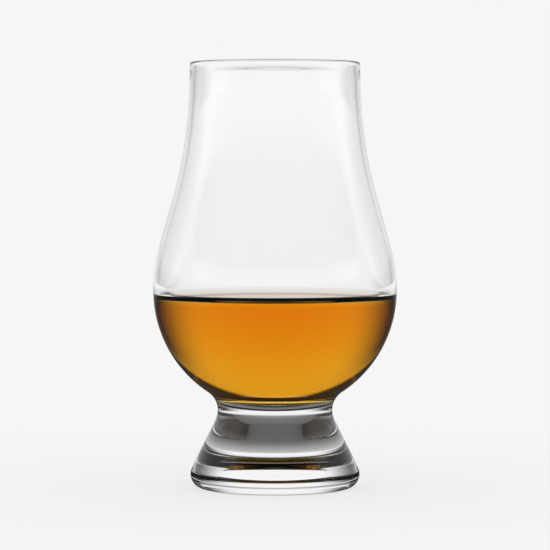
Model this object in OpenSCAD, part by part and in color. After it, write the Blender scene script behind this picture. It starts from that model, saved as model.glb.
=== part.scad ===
// Whisky nosing glass: a blown bowl with a round belly and a narrowing chimney, fused at the
// waist to a solid flared foot, and holding a pour of whisky. Every piece is turned about the
// Z axis, and the ring under the foot stands on Z = 0.

/* [Bowl] */
// Height of the whole glass, from the table to the rim
glass_h = 115; // [108:0.5:125]
// Outside diameter of the rim
rim_d = 46; // [42:0.5:50]
// Outside diameter of the bowl where it is widest
belly_d = 65.8; // [60:0.2:72]
// Thickness of the blown wall, from the belly up to the rim
wall_t = 1.4; // [1:0.1:2]
// Thickness of the glass between the waist and the lowest point of the cavity
floor_t = 1; // [0.8:0.1:4]
// Thickness of the fire-polished bead along the rim
bead_t = 1.6; // [1.2:0.05:2]
// Height over which the bead fades into the wall below it
bead_fade_h = 4; // [2:0.5:8]

/* [Waist] */
// Diameter of the waist, where the bowl and the foot are fused
waist_d = 31; // [28:0.5:34]
// Height of the waist above the table
waist_z = 20.9; // [19:0.1:24]
// Radius of the hollow curve that runs into the waist from above and below
waist_curve_r = 6; // [4:0.5:8]

/* [Foot] */
// Outside diameter of the foot
foot_d = 45.8; // [42:0.2:50]
// Radius of the gentle curve from the foot's flank into its widest edge
shoulder_r = 3.2; // [1:0.1:10]
// Width of the rounding that runs from the widest edge down and in to the ring
foot_edge_w = 3.4; // [1:0.1:4]
// Height of the widest edge above the table, where that rounding ends
foot_edge_h = 3.7; // [2:0.1:6]
// Width of the flat ring that the glass stands on
ring_w = 8.6; // [2:0.1:12]
// Depth of the domed hollow inside the ring
hollow_h = 0.8; // [0.5:0.1:3]

/* [Whisky] */
// Depth of the whisky in the middle of the bowl
pour_h = 29.3; // [12:0.1:40]
// How far the whisky climbs the glass round its edge
climb_h = 1.6; // [0.8:0.1:2.4]
// Width of the curved edge of the whisky's surface
climb_w = 3; // [2:0.1:5]

/* [Hidden] */

// Gap between the whisky and the glass round it
pour_gap = 0.05;
// Steepness of the chimney: its lower and upper curve handles, as shares of its height
belly_handle_share = 0.28;
rim_handle_share = 0.565;
// Angle of one step along an arc, and the steps along a free curve
arc_step = 5;
curve_steps = 24;
$fn = 96;

CLEAR_CRYSTAL = [0.9, 0.93, 0.95, 0.35];
THICK_CRYSTAL = [0.66, 0.66, 0.7, 0.6];
AMBER = [0.88, 0.47, 0.05, 0.85];

rim_r = rim_d / 2;
belly_r = belly_d / 2;
waist_r = waist_d / 2;
foot_r = foot_d / 2;
bead_r = bead_t / 2;
rim_z = glass_h - bead_r;

// The waist's hollow curve is part of a circle round this point. The belly is part of a sphere
// that just touches that circle, which settles the height of the widest point.
waist_centre = [waist_r + waist_curve_r, waist_z];
belly_z = waist_z + sqrt(pow(belly_r + waist_curve_r, 2) - pow(waist_centre.x, 2));
belly_centre = [0, belly_z];
belly_angle = atan2(belly_z - waist_z, waist_centre.x);

// The cavity's lower half is half of an ellipse, so the wall grows thicker towards the floor
cavity_z = waist_z + floor_t;
cavity_drop = belly_z - cavity_z;

// The flank is the straight line that touches both the waist's circle and the shoulder's
shoulder_centre = [foot_r - shoulder_r, foot_edge_h];
flank_reach = waist_centre - shoulder_centre;
flank_angle = atan2(flank_reach.y, flank_reach.x)
    - acos((waist_curve_r + shoulder_r) / norm(flank_reach));

ring_r = foot_r - foot_edge_w;
hollow_r = ring_r - ring_w;
hollow_curve_r = (pow(hollow_r, 2) + pow(hollow_h, 2)) / (2 * hollow_h);

pour_z = cavity_z + pour_h;
climb_z = pour_z + climb_h;

// Point at an angle on a circle
function on_circle(centre, radius, angle) = centre + radius * [cos(angle), sin(angle)];

// Points along an arc after its first, which the outline already holds
function arc(centre, radius, first, last) =
    let (steps = ceil(abs(last - first) / arc_step))
    [for (i = [1:steps]) on_circle(centre, radius, first + (last - first) * i / steps)];

// The chimney's outer curve leaves the belly and reaches the rim upright, t running from 0 to 1
chimney_rise = rim_z - belly_z;
chimney_low = [belly_r, belly_z];
chimney_low_handle = chimney_low + [0, chimney_rise * belly_handle_share];
chimney_top = [rim_r, rim_z];
chimney_top_handle = chimney_top - [0, chimney_rise * rim_handle_share];

function chimney(t) =
    pow(1 - t, 3) * chimney_low
    + 3 * pow(1 - t, 2) * t * chimney_low_handle
    + 3 * (1 - t) * pow(t, 2) * chimney_top_handle
    + pow(t, 3) * chimney_top;

function chimney_direction(t) =
    let (run = pow(1 - t, 2) * (chimney_low_handle - chimney_low)
        + 2 * (1 - t) * t * (chimney_top_handle - chimney_low_handle)
        + pow(t, 2) * (chimney_top - chimney_top_handle))
    run / norm(run);

// Point that lies a depth inside the chimney's outer curve, square to it
function inside_chimney(t, depth) =
    let (along = chimney_direction(t))
    chimney(t) - depth * [along.y, -along.x];

// Thickness of the chimney's wall, which swells into the bead near the rim
function chimney_wall(t) =
    let (below = min(1, (rim_z - chimney(t).y) / bead_fade_h))
    wall_t + (bead_t - wall_t) * (1 + cos(180 * below)) / 2;

// The cavity's lower half from the belly to the floor, drawn in by a gap, after its first point
function cavity_bottom(gap) =
    let (steps = ceil(90 / arc_step))
    [for (i = [1:steps])
        [(belly_r - wall_t - gap) * cos(90 * i / steps),
         belly_z - (cavity_drop - gap) * sin(90 * i / steps)]];

// The cavity's wall from the rim down to the floor, drawn in by a gap
function cavity_wall(gap) = concat(
    [for (i = [curve_steps:-1:0])
        let (t = i / curve_steps)
        inside_chimney(t, chimney_wall(t) + gap)],
    cavity_bottom(gap)
);

module bowl() {
    outside = concat(
        [[0, waist_z], [waist_r, waist_z]],
        arc(waist_centre, waist_curve_r, 180, 180 - belly_angle),
        arc(belly_centre, belly_r, -belly_angle, 0),
        [for (i = [1:curve_steps]) chimney(i / curve_steps)]
    );
    rim = arc([rim_r - bead_r, rim_z], bead_r, 0, 180);
    inside = [for (i = [1:len(cavity_wall(0)) - 1]) cavity_wall(0)[i]];
    color(CLEAR_CRYSTAL)
        rotate_extrude()
            polygon(concat(outside, rim, inside));
}

// The foot's edge is a quarter of an ellipse, from the ring up to the widest place
function foot_edge() =
    let (steps = ceil(90 / arc_step))
    [for (i = [1:steps])
        [ring_r + foot_edge_w * sin(90 * i / steps),
         foot_edge_h * (1 - cos(90 * i / steps))]];

module foot() {
    hollow_angle = asin(hollow_r / hollow_curve_r);
    underside = concat(
        [[0, hollow_h]],
        arc([0, hollow_h - hollow_curve_r], hollow_curve_r, 90, 90 - hollow_angle),
        [[ring_r, 0]]
    );
    flank = concat(
        foot_edge(),
        arc(shoulder_centre, shoulder_r, 0, flank_angle),
        [on_circle(waist_centre, waist_curve_r, 180 + flank_angle)],
        arc(waist_centre, waist_curve_r, 180 + flank_angle, 180)
    );
    color(THICK_CRYSTAL)
        rotate_extrude()
            polygon(concat(underside, flank, [[0, waist_z]]));
}

module whisky() {
    wall = cavity_wall(pour_gap);
    edge_r = lookup(climb_z, [for (point = wall) [point.y, point.x]]);
    surface_steps = 6;
    surface = [for (i = [0:surface_steps])
        let (share = i / surface_steps)
        [edge_r - climb_w * (1 - share), pour_z + climb_h * pow(share, 2)]];
    side = [for (point = wall) if (point.y < climb_z) point];
    color(AMBER)
        rotate_extrude()
            polygon(concat([[0, pour_z]], surface, side));
}

bowl();
foot();
whisky();
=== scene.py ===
"""Studio scene of a whisky nosing glass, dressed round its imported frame.

The bowl, the foot and the whisky are each turned about the Z axis from a profile that follows the
frame's own boxes. Faces that touch a neighbour carry an attribute, by which the finishes let light
pass there as it does in fused glass. Lengths are in metres, and the table is at Z = 0.
"""
import logging
import math
from abc import ABC, abstractmethod
from dataclasses import dataclass, field
from enum import Enum
from itertools import pairwise
from typing import ClassVar

import bmesh
import bpy
from mathutils import Matrix, Vector


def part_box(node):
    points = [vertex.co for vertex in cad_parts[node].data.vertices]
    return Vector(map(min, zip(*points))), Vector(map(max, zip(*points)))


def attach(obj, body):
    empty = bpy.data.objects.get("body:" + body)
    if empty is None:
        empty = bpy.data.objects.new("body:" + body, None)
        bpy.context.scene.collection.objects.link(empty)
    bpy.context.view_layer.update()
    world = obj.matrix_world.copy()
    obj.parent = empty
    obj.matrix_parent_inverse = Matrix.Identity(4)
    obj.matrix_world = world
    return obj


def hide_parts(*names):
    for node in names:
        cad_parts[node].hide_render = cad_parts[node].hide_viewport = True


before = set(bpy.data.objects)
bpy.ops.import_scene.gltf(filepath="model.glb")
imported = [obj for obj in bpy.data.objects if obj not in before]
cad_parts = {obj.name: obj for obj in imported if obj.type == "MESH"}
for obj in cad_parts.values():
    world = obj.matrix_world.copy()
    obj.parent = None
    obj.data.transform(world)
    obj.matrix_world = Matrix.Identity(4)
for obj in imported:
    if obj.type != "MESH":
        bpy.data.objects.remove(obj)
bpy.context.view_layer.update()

MM = 0.001
CONTACT = "contact"
TURN_STEPS = 160
WELD_DISTANCE = 0.001 * MM
CRISP_ANGLE = math.radians(25)
QUARTER = math.pi / 2

Point = tuple[float, float]
Colour = tuple[float, float, float, float]
Tree = bpy.types.NodeTree
Node = bpy.types.Node
Socket = bpy.types.NodeSocket
WHITE: Colour = (1, 1, 1, 1)

log = logging.getLogger("nosing_glass")


class Medium(Enum):
    """What light passes through, by its refractive index."""

    AIR = 1.0
    WHISKY = 1.36
    CRYSTAL = 1.52

    def against(self, other: "Medium") -> float:
        """Return this medium's refractive index relative to another's."""
        return self.value / other.value


class Meets(Enum):
    """What lies on the other side of a surface."""

    AIR = 0
    NEIGHBOUR = 1


@dataclass
class Stretch:
    """Part of a profile, with what lies on the other side of its surface."""

    points: list[Point]
    meets: Meets = Meets.AIR


def arc(centre: Point, radius: float, first: float, last: float, steps: int) -> list[Point]:
    """Lay points along an arc, both ends included.

    Args:
        centre: Centre of the arc, as distance from the axis and height.
        radius: Radius of the arc.
        first: Angle of the first point from the outward direction, in radians.
        last: Angle of the last point, in radians.
        steps: Number of equal steps between the two ends.

    Returns:
        The points in order.
    """
    angles = [first + (last - first) * i / steps for i in range(steps + 1)]
    return [(centre[0] + radius * math.cos(a), centre[1] + radius * math.sin(a)) for a in angles]


def turn(name: str, profile: list[Stretch]) -> bpy.types.Object:
    """Turn a closed profile about the Z axis into a solid.

    Args:
        name: Name of the piece.
        profile: Stretches from the axis round to the axis again, each starting where the one
            before it ends.

    Returns:
        The piece. Its attribute named by CONTACT is 1 on the faces that meet a neighbour.
    """
    form = bmesh.new()
    contact = form.faces.layers.float.new(CONTACT)
    for stretch in profile:
        known = set(form.faces)
        verts = [form.verts.new((r, 0, z)) for r, z in stretch.points]
        edges = [form.edges.new(pair) for pair in pairwise(verts)]
        bmesh.ops.spin(
            form, geom=[*verts, *edges], cent=(0, 0, 0), axis=(0, 0, 1),
            angle=math.tau, steps=TURN_STEPS, use_merge=True,
        )
        for face in set(form.faces) - known:
            face[contact] = stretch.meets.value
    bmesh.ops.remove_doubles(form, verts=form.verts, dist=WELD_DISTANCE)
    bmesh.ops.recalc_face_normals(form, faces=form.faces)
    for face in form.faces:
        face.smooth = True
    for edge in form.edges:
        edge.smooth = edge.calc_face_angle(0) < CRISP_ANGLE
    mesh = bpy.data.meshes.new(name)
    form.to_mesh(mesh)
    form.free()
    piece = bpy.data.objects.new(name, mesh)
    bpy.context.collection.objects.link(piece)
    return piece


@dataclass
class GlassForm:
    """The glass's own outline: outer sizes from the frame's boxes, and the sizes between them."""

    rim_r: float = 23.0 * MM
    waist_r: float = 15.5 * MM
    waist_curve_r: float = 6.0 * MM
    wall_t: float = 1.4 * MM
    floor_t: float = 1.0 * MM
    bead_t: float = 1.6 * MM
    bead_fade_h: float = 4.0 * MM
    belly_handle_share: float = 0.28
    rim_handle_share: float = 0.565
    waist_steps: int = 16
    chimney_steps: int = 60
    bottom_steps: int = 60
    belly_r: float = field(init=False)
    belly_z: float = field(init=False)
    belly_angle: float = field(init=False)
    waist_z: float = field(init=False)
    waist_centre: Point = field(init=False)
    rim_z: float = field(init=False)
    foot_r: float = field(init=False)
    climb_z: float = field(init=False)
    cavity_z: float = field(init=False)

    def __post_init__(self) -> None:
        """Read the outer sizes from the frame, and settle what follows from them."""
        bowl_low, bowl_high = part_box("bowl")
        self.belly_r = bowl_high[0]
        self.waist_z = bowl_low[2]
        self.rim_z = bowl_high[2] - self.bead_t / 2
        self.foot_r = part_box("foot")[1][0]
        self.climb_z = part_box("whisky")[1][2]
        self.waist_centre = (self.waist_r + self.waist_curve_r, self.waist_z)
        reach = self.belly_r + self.waist_curve_r
        self.belly_z = self.waist_z + math.sqrt(reach**2 - self.waist_centre[0] ** 2)
        self.belly_angle = math.atan2(self.belly_z - self.waist_z, self.waist_centre[0])
        self.cavity_z = self.waist_z + self.floor_t

    def chimney(self, t: float) -> Vector:
        """Find a point on the chimney's outer curve.

        Args:
            t: Way along the curve, from 0 at the belly to 1 under the rim's bead.

        Returns:
            Distance from the axis and height.
        """
        rise = self.rim_z - self.belly_z
        low = Vector((self.belly_r, self.belly_z))
        top = Vector((self.rim_r, self.rim_z))
        low_handle = low + Vector((0, rise * self.belly_handle_share))
        top_handle = top - Vector((0, rise * self.rim_handle_share))
        return (
            (1 - t) ** 3 * low
            + 3 * (1 - t) ** 2 * t * low_handle
            + 3 * (1 - t) * t**2 * top_handle
            + t**3 * top
        )

    def chimney_inside(self, t: float, gap: float) -> Vector:
        """Find a point on the chimney's inner wall, square to its outer curve.

        Args:
            t: Way along the outer curve, from 0 at the belly to 1 under the bead.
            gap: How far the point stands in from the wall. Below zero it lies in the glass.

        Returns:
            Distance from the axis and height.
        """
        step = 1e-3
        outer = self.chimney(t)
        along = (self.chimney(t + step) - self.chimney(t - step)).normalized()
        below = min(1, (self.rim_z - outer.y) / self.bead_fade_h)
        swell = (1 + math.cos(math.pi * below)) / 2
        depth = self.wall_t + (self.bead_t - self.wall_t) * swell + gap
        return outer - depth * Vector((along.y, -along.x))

    def cavity(self, gap: float = 0) -> list[Point]:
        """Lay points down the cavity's wall, from the rim to the middle of its floor.

        The part below the belly's widest place is half of an ellipse.

        Args:
            gap: How far the points stand in from the wall. Below zero they lie in the glass.

        Returns:
            The points in order.
        """
        across = self.belly_r - self.wall_t - gap
        down = self.belly_z - self.cavity_z - gap
        ways = [1 - i / self.chimney_steps for i in range(self.chimney_steps)]
        upper = [tuple(self.chimney_inside(way, gap)) for way in ways]
        angles = [QUARTER * i / self.bottom_steps for i in range(self.bottom_steps)]
        lower = [(across * math.cos(a), self.belly_z - down * math.sin(a)) for a in angles]
        return [*upper, *lower, (0, self.belly_z - down)]


def new_material(name: str) -> tuple[bpy.types.Material, Tree]:
    """Start a material with an empty node tree.

    Args:
        name: Name of the material.

    Returns:
        The material and its node tree.
    """
    material = bpy.data.materials.new(name)
    material.use_nodes = True
    material.node_tree.nodes.clear()
    return material, material.node_tree


def feed(tree: Tree, socket: Socket, value: object) -> None:
    """Give an input its value.

    Args:
        tree: Tree that the input is in.
        socket: The input.
        value: What it gets. A socket is linked to it, and any other value is set on it.
    """
    if isinstance(value, bpy.types.NodeSocket):
        tree.links.new(value, socket)
    else:
        socket.default_value = value


def add(tree: Tree, kind: str, **values: object) -> Node:
    """Add a node, and give it its properties and inputs.

    Args:
        tree: Tree that gets the node.
        kind: Type of the node.
        values: Properties by name, and inputs by name with an underscore for each space.

    Returns:
        The node.
    """
    node = tree.nodes.new(kind)
    for key, value in values.items():
        if key in node.bl_rna.properties:
            setattr(node, key, value)
            continue
        name = key.replace("_", " ")
        feed(tree, next(s for s in node.inputs if s.enabled and s.name == name), value)
    return node


def combine(tree: Tree, how: str, *values: Socket | float) -> Socket:
    """Work out a number from others.

    Args:
        tree: Tree that gets the node.
        how: The Math node's operation.
        values: Sockets or values of the numbers, in the operation's order.

    Returns:
        Socket of the result.
    """
    node = add(tree, "ShaderNodeMath", operation=how)
    for socket, value in zip(node.inputs, values):
        feed(tree, socket, value)
    return node.outputs["Value"]


@dataclass(frozen=True)
class Fade:
    """A smooth rise from 0 to 1 while a value goes from its start to its end."""

    start: float
    end: float

    def share(self, tree: Tree, value: Socket) -> Socket:
        """Lay the fade's node on a value.

        Args:
            tree: Tree that gets the node.
            value: Socket of the value.

        Returns:
            Socket of the share, from 0 to 1.
        """
        node = add(
            tree, "ShaderNodeMapRange", interpolation_type="SMOOTHSTEP",
            Value=value, From_Min=self.start, From_Max=self.end,
        )
        return node.outputs["Result"]


def blend(
    tree: Tree, share: Socket | float, first: Socket | Colour, second: Socket | Colour,
) -> Socket:
    """Blend two colours.

    Args:
        tree: Tree that gets the node.
        share: Share of the second colour.
        first: Socket or value of the first colour.
        second: Socket or value of the second colour.

    Returns:
        Socket of the blended colour.
    """
    node = add(tree, "ShaderNodeMix", data_type="RGBA", Factor=share, A=first, B=second)
    return next(s for s in node.outputs if s.enabled)


def choose(tree: Tree, share: Socket | float, first: Node, second: Node) -> Node:
    """Mix two shaders.

    Args:
        tree: Tree that gets the node.
        share: Share of the second shader.
        first: Node of the first shader.
        second: Node of the second shader.

    Returns:
        The node that mixes them.
    """
    node = add(tree, "ShaderNodeMixShader")
    for socket, value in zip(node.inputs, (share, first.outputs[0], second.outputs[0])):
        feed(tree, socket, value)
    return node


def by_ray(tree: Tree, camera: Node, transmission: Node, glossy: Node, diffuse: Node) -> Node:
    """Choose a shader by the kind of ray that meets it.

    Args:
        tree: Tree that gets the nodes.
        camera: Shader that the camera sees.
        transmission: Shader seen through a clear surface.
        glossy: Shader seen in a reflection.
        diffuse: Shader that lights dull surfaces.

    Returns:
        The node that chooses.
    """
    rays = add(tree, "ShaderNodeLightPath").outputs
    bounced = choose(tree, rays["Is Glossy Ray"], diffuse, glossy)
    indirect = choose(tree, rays["Is Transmission Ray"], bounced, transmission)
    return choose(tree, rays["Is Camera Ray"], indirect, camera)


class Glow(Enum):
    """The node that gives plain light, in the world and on a surface."""

    WORLD = "ShaderNodeBackground"
    SURFACE = "ShaderNodeEmission"

    def at(self, tree: Tree, strength: float, colour: Socket | Colour = WHITE) -> Node:
        """Add a plain light, of which a strength of 1 shows its colour as it is."""
        return add(tree, self.value, Color=colour, Strength=strength)


@dataclass(frozen=True)
class HeightTint:
    """How a wall deepens in colour with height, up to where the tint ends."""

    low: Colour
    high: Colour
    deepening: Fade
    ending: Fade

    def colour(self, tree: Tree) -> Socket:
        """Lay the tint's nodes.

        Args:
            tree: Tree that gets the nodes.

        Returns:
            Socket of the tint's colour.
        """
        place = add(tree, "ShaderNodeTexCoord").outputs["Object"]
        height = add(tree, "ShaderNodeSeparateXYZ", Vector=place).outputs["Z"]
        deepened = blend(tree, self.deepening.share(tree, height), self.low, self.high)
        return blend(tree, self.ending.share(tree, height), deepened, self.low)


@dataclass(frozen=True)
class ClearFinish:
    """A clear medium with a smooth surface, joined to the neighbour that it touches.

    The joined index is 1 where light goes straight through a joined face, because the neighbour's
    own face bends it there.
    """

    name: str
    medium: Medium
    soaked: Colour
    soak_density: float
    ripple: float
    ripple_size: float
    smear: float
    smear_size: float
    joined_index: float = 1.0
    joined_tint: HeightTint | None = None
    ripple_detail: float = 1.0
    smear_detail: float = 4.0
    smear_low: float = 0.45
    smear_high: float = 0.75

    def open_face(self, tree: Tree) -> Node:
        """Lay the surface that meets air, with its shallow ripples and faint smears.

        Args:
            tree: Tree that gets the nodes.

        Returns:
            The surface's node.
        """
        place = add(tree, "ShaderNodeTexCoord").outputs["Object"]
        ripples = add(
            tree, "ShaderNodeTexNoise", Vector=place, Scale=1 / self.ripple_size,
            Detail=self.ripple_detail,
        )
        bump = add(
            tree, "ShaderNodeBump", Height=ripples.outputs["Fac"], Distance=self.ripple,
            Strength=1.0,
        )
        smears = add(
            tree, "ShaderNodeTexNoise", Vector=place, Scale=1 / self.smear_size,
            Detail=self.smear_detail,
        )
        roughness = add(
            tree, "ShaderNodeMapRange", Value=smears.outputs["Fac"], From_Min=self.smear_low,
            From_Max=self.smear_high, To_Max=self.smear,
        )
        return add(
            tree, "ShaderNodeBsdfPrincipled", Base_Color=WHITE,
            IOR=self.medium.against(Medium.AIR), Roughness=roughness.outputs["Result"],
            Transmission_Weight=1.0, Normal=bump.outputs["Normal"],
        )

    def material(self) -> bpy.types.Material:
        """Build the material, with its open face, its joined face and its depth of colour.

        Returns:
            The material.
        """
        material, tree = new_material(self.name)
        tint = self.joined_tint.colour(tree) if self.joined_tint else WHITE
        joined_face = add(
            tree, "ShaderNodeBsdfGlass", Color=tint, Roughness=0.0, IOR=self.joined_index,
        )
        contact = add(tree, "ShaderNodeAttribute", attribute_name=CONTACT)
        face = choose(tree, contact.outputs["Fac"], self.open_face(tree), joined_face)
        depth = add(
            tree, "ShaderNodeVolumeAbsorption", Color=self.soaked, Density=self.soak_density,
        )
        out = add(tree, "ShaderNodeOutputMaterial")
        tree.links.new(face.outputs[0], out.inputs["Surface"])
        tree.links.new(depth.outputs[0], out.inputs["Volume"])
        return material


BOWL_CRYSTAL = ClearFinish(
    name="clear_crystal",
    medium=Medium.CRYSTAL,
    soaked=(0.95, 0.945, 0.95, 1),
    soak_density=5.0,
    ripple=0.01 * MM,
    ripple_size=14 * MM,
    smear=0.03,
    smear_size=9 * MM,
)
FOOT_CRYSTAL = ClearFinish(
    name="thick_crystal",
    medium=Medium.CRYSTAL,
    soaked=(0.95, 0.945, 0.95, 1),
    soak_density=5.0,
    ripple=0.006 * MM,
    ripple_size=10 * MM,
    smear=0.03,
    smear_size=6 * MM,
)
WHISKY = ClearFinish(
    name="amber_whisky",
    medium=Medium.WHISKY,
    soaked=(0.965, 0.80, 0.05, 1),
    soak_density=100.0,
    ripple=0.004 * MM,
    ripple_size=12 * MM,
    smear=0.01,
    smear_size=8 * MM,
    joined_index=Medium.WHISKY.against(Medium.CRYSTAL),
    joined_tint=HeightTint(
        low=WHITE,
        high=(0.98, 0.84, 1, 1),
        deepening=Fade(34 * MM, 51 * MM),
        ending=Fade(50 * MM, 51 * MM),
    ),
)


@dataclass
class TurnedPiece(ABC):
    """A piece turned about the Z axis, which stands for one node of the frame."""

    form: GlassForm
    name: ClassVar[str]
    node: ClassVar[str]
    finish: ClassVar[ClearFinish]

    @abstractmethod
    def profile(self) -> list[Stretch]:
        """Lay the stretches from the axis round to the axis again."""

    def build(self) -> bpy.types.Object:
        """Turn the piece from its profile."""
        return turn(self.name, self.profile())

    def dress(self, piece: bpy.types.Object) -> None:
        """Give the piece its finish, and let it stand for its node of the frame.

        Args:
            piece: The piece.
        """
        piece.data.materials.append(self.finish.material())
        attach(piece, "root")
        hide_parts(self.node)


@dataclass
class CrystalBowl(TurnedPiece):
    """The blown bowl: belly, chimney, fire-polished rim and a floor over the waist.

    Its seam laps a hair into the foot, so that no two faces lie in one place.
    """

    name = "crystal_bowl"
    node = "bowl"
    finish = BOWL_CRYSTAL
    seam_lap: float = 0.01 * MM
    belly_steps: int = 40
    bead_steps: int = 16

    def outside(self, seam_z: float) -> list[Point]:
        """Lay points from the seam at the waist up the outside and over the rim.

        Args:
            seam_z: Height of the seam.

        Returns:
            The points in order.
        """
        g = self.form
        bead_r = g.bead_t / 2
        ways = [(i + 1) / g.chimney_steps for i in range(g.chimney_steps)]
        return [
            (g.waist_r, seam_z),
            *arc(g.waist_centre, g.waist_curve_r, math.pi, math.pi - g.belly_angle, g.waist_steps),
            *arc((0, g.belly_z), g.belly_r, -g.belly_angle, 0, self.belly_steps)[1:],
            *[tuple(g.chimney(way)) for way in ways],
            *arc((g.rim_r - bead_r, g.rim_z), bead_r, 0, math.pi, self.bead_steps)[1:],
        ]

    def profile(self) -> list[Stretch]:
        """Lay the stretches from the waist up the outside, over the rim and down to the floor.

        Returns:
            The seam, the open wall and the wall that the whisky wets.
        """
        g = self.form
        seam_z = g.waist_z - self.seam_lap
        inside = g.cavity()
        dry = [p for p in inside if p[1] > g.climb_z]
        wet = [p for p in inside if p[1] <= g.climb_z]
        return [
            Stretch([(0, seam_z), (g.waist_r, seam_z)], Meets.NEIGHBOUR),
            Stretch([*self.outside(seam_z), *dry[1:], wet[0]]),
            Stretch(wet, Meets.NEIGHBOUR),
        ]


@dataclass
class CrystalFoot(TurnedPiece):
    """The solid pressed foot: flared flank, round edge, standing ring and hollow underside."""

    name = "crystal_foot"
    node = "foot"
    finish = FOOT_CRYSTAL
    shoulder_r: float = 3.2 * MM
    edge_w: float = 3.4 * MM
    edge_h: float = 3.7 * MM
    ring_w: float = 8.6 * MM
    hollow_h: float = 0.8 * MM
    hollow_steps: int = 40
    edge_steps: int = 24
    shoulder_steps: int = 16

    def underside(self, ring_r: float) -> list[Point]:
        """Lay points from the middle of the hollow out to the ring's inner edge.

        Args:
            ring_r: Radius of the ring's outer edge.

        Returns:
            The points in order.
        """
        hollow_r = ring_r - self.ring_w
        curve_r = (hollow_r**2 + self.hollow_h**2) / (2 * self.hollow_h)
        reach = math.asin(hollow_r / curve_r)
        middle = (0, self.hollow_h - curve_r)
        return arc(middle, curve_r, QUARTER, QUARTER - reach, self.hollow_steps)

    def edge(self, ring_r: float) -> list[Point]:
        """Lay points round the edge, from the ring up to the foot's widest place.

        Args:
            ring_r: Radius of the ring's outer edge.

        Returns:
            The points in order.
        """
        angles = [QUARTER * i / self.edge_steps for i in range(self.edge_steps + 1)]
        return [
            (ring_r + self.edge_w * math.sin(a), self.edge_h * (1 - math.cos(a))) for a in angles
        ]

    def flank(self) -> list[Point]:
        """Lay points from the widest place round the shoulder and up the flank to the waist.

        The flank is the straight line that touches both the shoulder's curve and the waist's.

        Returns:
            The points in order.
        """
        g = self.form
        shoulder = (g.foot_r - self.shoulder_r, self.edge_h)
        across, up = g.waist_centre[0] - shoulder[0], g.waist_centre[1] - shoulder[1]
        touch = math.acos((g.waist_curve_r + self.shoulder_r) / math.hypot(across, up))
        lean = math.atan2(up, across) - touch
        return [
            *arc(shoulder, self.shoulder_r, 0, lean, self.shoulder_steps)[1:],
            *arc(g.waist_centre, g.waist_curve_r, math.pi + lean, math.pi, g.waist_steps),
        ]

    def profile(self) -> list[Stretch]:
        """Lay the stretches from the middle of the hollow out to the ring and up to the waist.

        Returns:
            The open surface and the seam.
        """
        g = self.form
        ring_r = g.foot_r - self.edge_w
        return [
            Stretch([*self.underside(ring_r), *self.edge(ring_r), *self.flank()]),
            Stretch([(g.waist_r, g.waist_z), (0, g.waist_z)], Meets.NEIGHBOUR),
        ]


@dataclass
class Pour(TurnedPiece):
    """The whisky, whose edge climbs the glass.

    Its wall laps a hair into the bowl's, so that no air shows between them.
    """

    name = "whisky_pour"
    node = "whisky"
    finish = WHISKY
    climb_h: float = 1.6 * MM
    climb_w: float = 3.0 * MM
    wall_lap: float = 0.03 * MM
    climb_steps: int = 24

    def profile(self) -> list[Stretch]:
        """Lay the stretches from the middle of the surface out to the glass and down to the floor.

        Returns:
            The open surface and the wall that the glass holds.
        """
        g = self.form
        side = [p for p in g.cavity(-self.wall_lap) if p[1] <= g.climb_z]
        edge_r = side[0][0]
        level = g.climb_z - self.climb_h
        shares = [i / self.climb_steps for i in range(self.climb_steps + 1)]
        climb = [(edge_r - self.climb_w * (1 - s), level + self.climb_h * s**2) for s in shares]
        return [
            Stretch([(0, level), *climb]),
            Stretch([climb[-1], *side], Meets.NEIGHBOUR),
        ]


@dataclass(frozen=True)
class RoomInGlass:
    """The room as it shows through the glass, by the way that the light comes from.

    It has pale walls, dimmer in front, a low dark flag at each side behind the glass, and a dark
    ceiling that slopes up towards the back.
    """

    walls: float = 1.0
    front: float = 0.55
    in_front: Fade = Fade(-0.2, -0.6)
    dark: float = 0.04
    flag_width: Fade = Fade(0.3, 0.85)
    flag_height: Fade = Fade(0.65, 0.35)
    flag_depth: Fade = Fade(0.2, 0.5)
    ceiling_tilt: float = 0.45
    ceiling_height: Fade = Fade(0.22, 0.31)

    def flags(self, tree: Tree, x: Socket, y: Socket, z: Socket) -> Socket:
        """Lay the share of the flags.

        Args:
            tree: Tree that gets the nodes.
            x: Socket of how far to the right the way goes.
            y: Socket of how far to the back it goes.
            z: Socket of how far up it goes.

        Returns:
            Socket of the share.
        """
        beside = self.flag_width.share(tree, combine(tree, "ABSOLUTE", x))
        low = combine(tree, "MULTIPLY", beside, self.flag_height.share(tree, z))
        return combine(tree, "MULTIPLY", low, self.flag_depth.share(tree, y))

    def ceiling(self, tree: Tree, y: Socket, z: Socket) -> Socket:
        """Lay the share of the ceiling.

        Args:
            tree: Tree that gets the nodes.
            y: Socket of how far to the back the way goes.
            z: Socket of how far up it goes.

        Returns:
            Socket of the share.
        """
        back = combine(tree, "MAXIMUM", y, 0.0)
        height = combine(tree, "MULTIPLY_ADD", back, -self.ceiling_tilt, z)
        return self.ceiling_height.share(tree, height)

    def shader(self, tree: Tree, x: Socket, y: Socket, z: Socket) -> Node:
        """Lay the room's nodes.

        Args:
            tree: Tree that gets the nodes.
            x: Socket of how far to the right the way goes.
            y: Socket of how far to the back it goes.
            z: Socket of how far up it goes.

        Returns:
            The room's shader.
        """
        darkness = combine(tree, "MAXIMUM", self.flags(tree, x, y, z), self.ceiling(tree, y, z))
        walls = Glow.WORLD.at(tree, self.walls)
        front = Glow.WORLD.at(tree, self.front)
        pale = choose(tree, self.in_front.share(tree, y), walls, front)
        return choose(tree, darkness, pale, Glow.WORLD.at(tree, self.dark))


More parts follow.
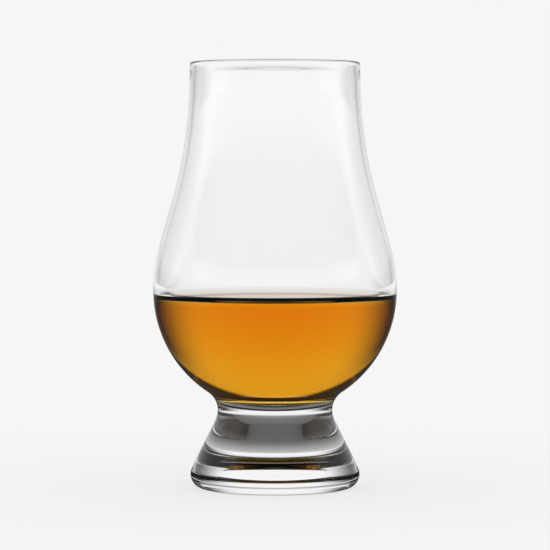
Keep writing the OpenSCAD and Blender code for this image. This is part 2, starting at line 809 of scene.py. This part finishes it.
@dataclass(frozen=True)
class RoomInMirror:
    """The room as a reflection shows it.

    It is dark low down and overhead, and pale between the two and straight behind the glass.
    """

    level: float = 0.06
    above: float = 0.6
    behind: float = 0.92
    backward: Fade = Fade(0.85, 0.99)
    raised: Fade = Fade(0.02, 0.1)
    overhead: Fade = Fade(0.66, 0.56)
    far_table: Fade = Fade(0.4, 2.0)

    def shader(self, tree: Tree, y: Socket, z: Socket) -> Node:
        """Lay the nodes of the mirrored room.

        Args:
            tree: Tree that gets the nodes.
            y: Socket of how far to the back the way goes.
            z: Socket of how far up it goes.

        Returns:
            The room's shader.
        """
        level = Glow.WORLD.at(tree, self.level)
        behind = Glow.WORLD.at(tree, self.behind)
        low = choose(tree, self.backward.share(tree, y), level, behind)
        up = combine(tree, "MULTIPLY", self.raised.share(tree, z), self.overhead.share(tree, z))
        return choose(tree, up, low, Glow.WORLD.at(tree, self.above))

    def table(self, tree: Tree, beyond: Socket) -> Node:
        """Lay the nodes of the mirrored table, which is dark but for its far end.

        Args:
            tree: Tree that gets the nodes.
            beyond: Socket of the distance behind the glass.

        Returns:
            The table's shader.
        """
        level = Glow.SURFACE.at(tree, self.level)
        behind = Glow.SURFACE.at(tree, self.behind)
        return choose(tree, self.far_table.share(tree, beyond), level, behind)


@dataclass(frozen=True)
class TableInGlass:
    """The table as it shows through the glass: a painted shadow close by and under the foot, pale
    far off.

    Light that nothing has mirrored shows it pale sooner, and under the foot too, so that the glass
    looks clear from every side. Seen more at a slant, the table glows brighter: a painted sheen.
    """

    steep_from: float = 0.33
    near_power: float = 2.5
    # Painted shadow: the table near the foot, seen steeply through the glass, glows dark grey.
    near_painted_shadow: Colour = (0.15, 0.148, 0.152, 1)
    near_level: Colour = (0.7, 0.7, 0.7, 1)
    far_steep: Colour = (0.8, 0.8, 0.8, 1)
    far_behind: Fade = Fade(60 * MM, 180 * MM)
    far_off: Fade = Fade(30 * MM, 80 * MM)
    # Painted shadow: the table under the foot glows near black, out to the radius of foot_shade.
    painted_shadow_under_foot: Colour = (0.04, 0.035, 0.03, 1)
    under_foot_straight: Colour = (0.85, 0.84, 0.82, 1)
    foot_shade: Fade = Fade(18 * MM, 22 * MM)

    def shader(self, tree: Tree, reach: Socket, beyond: Socket) -> Node:
        """Lay the table's nodes.

        Args:
            tree: Tree that gets the nodes.
            reach: Socket of the distance from the foot's middle.
            beyond: Socket of the distance behind the glass.

        Returns:
            The table's shader.
        """
        # Painted sheen: the table glows brighter the more it is seen at a slant, both near the foot
        # and far off.
        slant = add(tree, "ShaderNodeLayerWeight").outputs["Facing"]
        grazing = add(tree, "ShaderNodeMapRange", Value=slant, From_Min=self.steep_from)
        level = grazing.outputs["Result"]
        painted_sheen = combine(tree, "POWER", level, self.near_power)
        near = blend(tree, painted_sheen, self.near_painted_shadow, self.near_level)
        far = blend(tree, level, self.far_steep, WHITE)
        rays = add(tree, "ShaderNodeLightPath").outputs
        straight = combine(tree, "LESS_THAN", rays["Glossy Depth"], 1.0)
        away = combine(tree, "MULTIPLY", straight, self.far_off.share(tree, rays["Ray Length"]))
        pale = combine(tree, "MAXIMUM", away, self.far_behind.share(tree, beyond))
        table = blend(tree, pale, near, far)
        # Painted shadow under the foot for light that a surface mirrored, and pale for light that
        # nothing mirrored.
        under = blend(tree, straight, self.painted_shadow_under_foot, self.under_foot_straight)
        shade = blend(tree, self.foot_shade.share(tree, reach), under, table)
        return Glow.SURFACE.at(tree, 1.0, shade)


@dataclass
class Studio:
    """The pale table and backdrop, the even light, and what clear surfaces show of them."""

    backdrop: float = 0.922
    room: float = 0.92
    room_in_glass: RoomInGlass = RoomInGlass()
    room_in_mirror: RoomInMirror = RoomInMirror()
    table_in_glass: TableInGlass = TableInGlass()
    floor_r: float = 3.0
    floor_sides: int = 64
    floor_gap: float = 0.02 * MM
    floor_colour: Colour = (0.92, 0.92, 0.92, 1)
    shadow_share: float = 0.22
    shadow_end: Fade = Fade(0.05, 0.2)
    camera_distance: float = 0.78
    camera_z: float = 89 * MM
    aim_z: float = 57.5 * MM
    lens: float = 189
    clip_start: float = 10 * MM

    def world(self) -> None:
        """Light the room evenly, and give clear surfaces the rooms that they show."""
        world = bpy.data.worlds.new("studio")
        bpy.context.scene.world = world
        world.use_nodes = True
        tree = world.node_tree
        tree.nodes.clear()
        way = add(tree, "ShaderNodeTexCoord").outputs["Generated"]
        x, y, z = add(tree, "ShaderNodeSeparateXYZ", Vector=way).outputs
        seen = by_ray(
            tree,
            camera=Glow.WORLD.at(tree, self.backdrop),
            transmission=self.room_in_glass.shader(tree, x, y, z),
            glossy=self.room_in_mirror.shader(tree, y, z),
            diffuse=Glow.WORLD.at(tree, self.room),
        )
        out = add(tree, "ShaderNodeOutputWorld")
        tree.links.new(seen.outputs[0], out.inputs["Surface"])

    def floor(self) -> None:
        """Lay the pale round table top, a hair below the foot so that light enters between them."""
        form = bmesh.new()
        bmesh.ops.create_circle(
            form, cap_ends=True, segments=self.floor_sides, radius=self.floor_r,
            matrix=Matrix.Translation((0, 0, -self.floor_gap)),
        )
        mesh = bpy.data.meshes.new("floor")
        form.to_mesh(mesh)
        form.free()
        floor = bpy.data.objects.new("floor", mesh)
        bpy.context.collection.objects.link(floor)
        mesh.materials.append(self.floor_material())

    def floor_material(self) -> bpy.types.Material:
        """Build the table top, which blends into the backdrop round the glass's faint shadow.

        Returns:
            The material.
        """
        material, tree = new_material("pale_floor")
        place = add(tree, "ShaderNodeTexCoord").outputs["Object"]
        reach = add(tree, "ShaderNodeVectorMath", operation="LENGTH", Vector=place).outputs["Value"]
        beyond = add(tree, "ShaderNodeSeparateXYZ", Vector=place).outputs["Y"]
        matt = add(tree, "ShaderNodeBsdfDiffuse", Color=self.floor_colour)
        backdrop = Glow.SURFACE.at(tree, self.backdrop)
        shaded = choose(tree, self.shadow_share, backdrop, matt)
        face = by_ray(
            tree,
            camera=choose(tree, self.shadow_end.share(tree, reach), shaded, backdrop),
            transmission=self.table_in_glass.shader(tree, reach, beyond),
            glossy=self.room_in_mirror.table(tree, beyond),
            diffuse=matt,
        )
        out = add(tree, "ShaderNodeOutputMaterial")
        tree.links.new(face.outputs[0], out.inputs["Surface"])
        return material

    def camera(self) -> None:
        """Set the camera a little under the rim's height, at the photograph's distance."""
        data = bpy.data.cameras.new("camera")
        data.lens = self.lens
        data.clip_start = self.clip_start
        camera = bpy.data.objects.new("camera", data)
        bpy.context.collection.objects.link(camera)
        camera.location = (0, -self.camera_distance, self.camera_z)
        aim = Vector((0, 0, self.aim_z)) - camera.location
        camera.rotation_euler = aim.to_track_quat("-Z", "Y").to_euler()
        bpy.context.scene.camera = camera


def main() -> None:
    """Build and dress each piece, then set the studio round it."""
    logging.basicConfig(level=logging.INFO, format="%(name)s: %(message)s")
    form = GlassForm()
    for part in (CrystalBowl(form), CrystalFoot(form), Pour(form)):
        piece = part.build()
        part.dress(piece)
        log.info("%s: %d faces, stands for %s", piece.name, len(piece.data.polygons), part.node)
    studio = Studio()
    studio.world()
    studio.floor()
    studio.camera()
    bpy.context.scene.view_settings.view_transform = "Standard"


if __name__ == "__main__":
    main()
